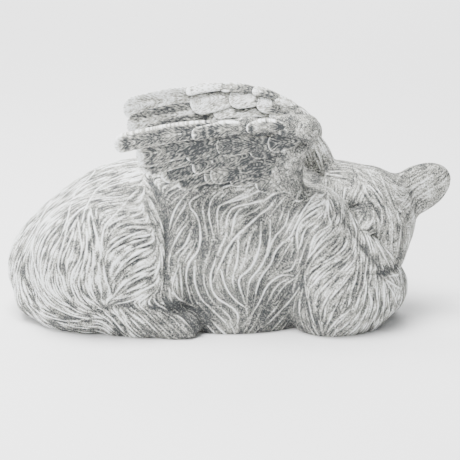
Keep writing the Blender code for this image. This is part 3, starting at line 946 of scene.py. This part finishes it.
COAT_GROOVES = (
    ((-52, 67), (-66, 66), (-78, 60), (-81, 54)), ((-50, 56), (-62, 54), (-72, 45), (-77, 38)),
    ((-48, 44), (-60, 41), (-70, 36), (-75, 30)), ((-81, 56), (-79, 46), (-75, 32)),
    ((-122, 30), (-110, 23), (-97, 17), (-88, 16)), ((-130, 24), (-118, 15), (-100, 11)),
    ((-98, 40), (-95, 30), (-88, 20)), ((56, 84), (47, 77), (42, 68), (43, 58)),
    ((70, 60), (60, 50), (52, 42), (48, 33)), ((84, 46), (72, 34), (62, 24), (60, 12)),
    ((80, 40), (72, 28), (68, 16)), ((93, 40), (89, 28), (88, 14)), ((52, 50), (47, 42), (47, 28)))
COAT_CREASES = (
    ((-52, 97), (-44, 86), (-40.5, 72), (-39.5, 54), (-41, 38), (-45, 25), (-54, 22)),
    ((-20, 3), (-26, 14), (-34, 20), (-46, 25)), ((49, 52), (48, 40), (49, 28)),
    ((-88, 17), (-74, 24), (-64, 24)), ((85, 62), (93, 52), (100, 45)),
    ((98, 43), (106, 42), (114, 42)))
HEAD_CREASES = (
    ((84, 61), (92, 51), (100, 44)), ((100, 47), (107, 45), (113, 46)),
    ((75, 81), (78, 79.7), (83, 80), (86.5, 82)),
    ((89, 89), (92, 84.5), (96, 80.4), (99, 75), (100.5, 71)), ((93.5, 83), (96, 80.4)),
    ((88.5, 67), (92, 67), (96, 69.5)), ((87, 64.2), (91.5, 62), (96.5, 63)),
    ((93.5, 60), (94.5, 56)), ((108.5, 57), (111.5, 58.3)))
HEAD_LINES = (
    ((55, 99), (67, 97), (79, 97)), ((61, 96), (70, 98), (81, 96)), ((65, 95), (65, 92), (63, 87)),
    ((71, 93), (72, 84)), ((77, 93), (76, 84)), ((83, 92), (78, 82)), ((88, 90), (83, 81)),
    ((75.5, 73.5), (77, 77), (82, 77), (89, 78.6)), ((91, 79), (86.5, 72.6), (85, 68), (85.5, 63.5)),
    ((96, 86), (100, 80), (101.5, 73.5), (100.5, 68), (96.5, 62.5)),
    ((91, 94), (95, 91), (100, 85), (102, 80)), ((95, 96), (99, 90), (104, 82), (104, 76)),
    ((106, 92), (111, 80), (113, 69), (112, 60)), ((95, 80), (96, 75), (93, 70), (89, 67)),
    ((92, 79), (92, 73), (88.5, 69)), ((86.5, 65.5), (91, 63.5), (95, 65), (97.5, 64.5)),
    ((87.5, 62.8), (92, 61), (96, 61.7)), ((100, 69), (99, 63), (95, 56)),
    ((103, 66), (100, 57), (97, 50)), ((105, 61), (103, 51), (104, 43)),
    ((108, 70), (108, 59), (106, 47)), ((115, 68), (113, 57), (111, 46)), ((119, 60), (117, 49)),
    ((113, 78), (124, 86), (137, 94)), ((115, 73), (128, 79), (141, 88)), ((119, 67), (131, 72)),
    ((111, 91), (119, 96)), ((84, 102), (84, 94)), ((92, 101), (96, 95)),
    ((101, 98), (103, 92), (106, 86)), ((60, 111), (64, 97)), ((58, 114), (62, 105), (64, 96)),
    ((50, 124), (56, 106)))
HEAD_GROOVES = (
    ((75, 81), (78, 79.7), (83, 80), (86.5, 82)),
    ((89, 89), (92, 84.5), (96, 80.4), (99, 75), (100.5, 71)),
    ((88.5, 67), (92, 67), (96, 69.5)), ((87, 64.2), (91.5, 62), (96.5, 63)),
    ((108.5, 57), (111.5, 58.3)),
    ((93, 92), (98, 86), (102, 78)), ((74, 88), (73, 83)), ((81, 88), (79, 83)))

# Base tone, which is painted light: dark on the near wing's outward face in shade and pale on the far
# wing's inner face that meets the light; slant of the barbs in radians, share of even barbs, and
# paleness of the rim.
NEAR_LOOK, FAR_LOOK = (0.29, 0.35, 0.0, 0.40), (0.63, 0.3, 0.8, 0.14)

# Feathers read off the photograph, on the wing's sheet: root, tip, width, thickness and rise, mm.
NEAR_FLIGHTS = (
    ((22, 139), (-74, 126), 10.5, 5.4, 1.4), ((34, 135), (-60, 117.5), 17, 3.6, 0.6),
    ((36, 131), (-57, 111), 16, 3.6, 0.2), ((36, 126), (-45, 105), 16, 3.6, -0.2),
    ((36, 120), (-35, 99.5), 16, 3.6, -0.6), ((34, 112), (-23, 95.5), 15, 3.6, -1.0),
    ((34, 105), (-8, 94.5), 14, 3.6, -1.4))
NEAR_COVERTS = (
    ((14, 130), (-28, 119), 9, 3.0, 1.5), ((12, 121), (-24, 110), 10, 3.0, 1.4),
    ((22, 114), (-16, 103), 10, 3.0, 1.3), ((22, 122), (-2, 116), 13, 3.0, 2.3),
    ((20, 128), (-8, 126), 14, 3.0, 2.7), ((12, 110), (-12, 105), 12, 3.0, 2.9),
    ((30, 114), (9, 113), 13, 3.0, 3.1), ((24, 107), (0, 104), 13, 3.0, 3.6),
    ((36, 127), (13, 124), 14, 3.0, 3.4), ((42, 115), (22, 113), 14, 3.0, 3.9),
    ((46, 131), (25, 128), 12, 3.0, 4.1), ((38, 106), (17, 100), 15, 3.0, 4.5))
NEAR_RIM = (
    ((16, 140), (-24, 135), 8, 5.5, 3.0), ((38, 141), (11, 140), 6, 5.5, 4.0),
    ((52, 138), (32, 138), 5.5, 5.5, 5.0))
FAR_FLIGHTS = (
    ((4, 138), (-73.5, 129.5), 15, 3.6, 0.2), ((8, 129), (-71, 118.5), 15, 3.6, 0.5),
    ((16, 122), (-60, 111), 15, 3.6, 0.6), ((20, 116), (-48, 106), 15, 3.6, 0.6),
    ((24, 110), (-35, 100), 15, 3.6, 0.6), ((28, 105), (-21, 97), 14, 3.6, 0.6),
    ((32, 101), (-7, 94.5), 13, 3.6, 0.6))
FAR_COVERTS = (
    ((34, 121), (-12, 120.5), 11, 3.0, 2.0), ((29, 128), (-11, 127.5), 11, 3.0, 2.4),
    ((6, 138), (-27, 133), 19, 3.0, 2.8), ((26, 137), (0, 136), 15, 3.0, 4.0),
    ((44, 129), (19, 135), 15, 3.0, 4.7), ((52, 121), (28, 126), 13, 3.0, 5.0),
    ((38, 113), (4, 113), 14, 3.0, 2.6), ((36, 105), (4, 104), 14, 3.0, 2.4),
    ((10, 112), (-28, 110), 13, 3.0, 1.8))
FAR_RIM = (
    ((0, 144.5), (-30, 141), 7, 3.6, 3.3), ((21, 141.5), (-6, 144), 7, 3.2, 3.7),
    ((36, 137), (16, 142), 7, 3.2, 4.5), ((48, 130), (32, 136.5), 7, 3.2, 5.2),
    ((57, 122), (42, 129), 8, 3.2, 5.6))

CAMERA_LENS, CAMERA_AWAY, CAMERA_RISE = 143.8, 1250, 15  # mm, mm and degrees
CAMERA_TARGET = (0.7, 0, 56)  # mm

make_stage()
STONE = cast_stone()
make_coat()
make_head()
make_wing("near_wing", -1, NEAR_FLIGHTS, NEAR_COVERTS, NEAR_RIM, NEAR_LOOK)
make_wing("far_wing", 1, FAR_FLIGHTS, FAR_COVERTS, FAR_RIM, FAR_LOOK)
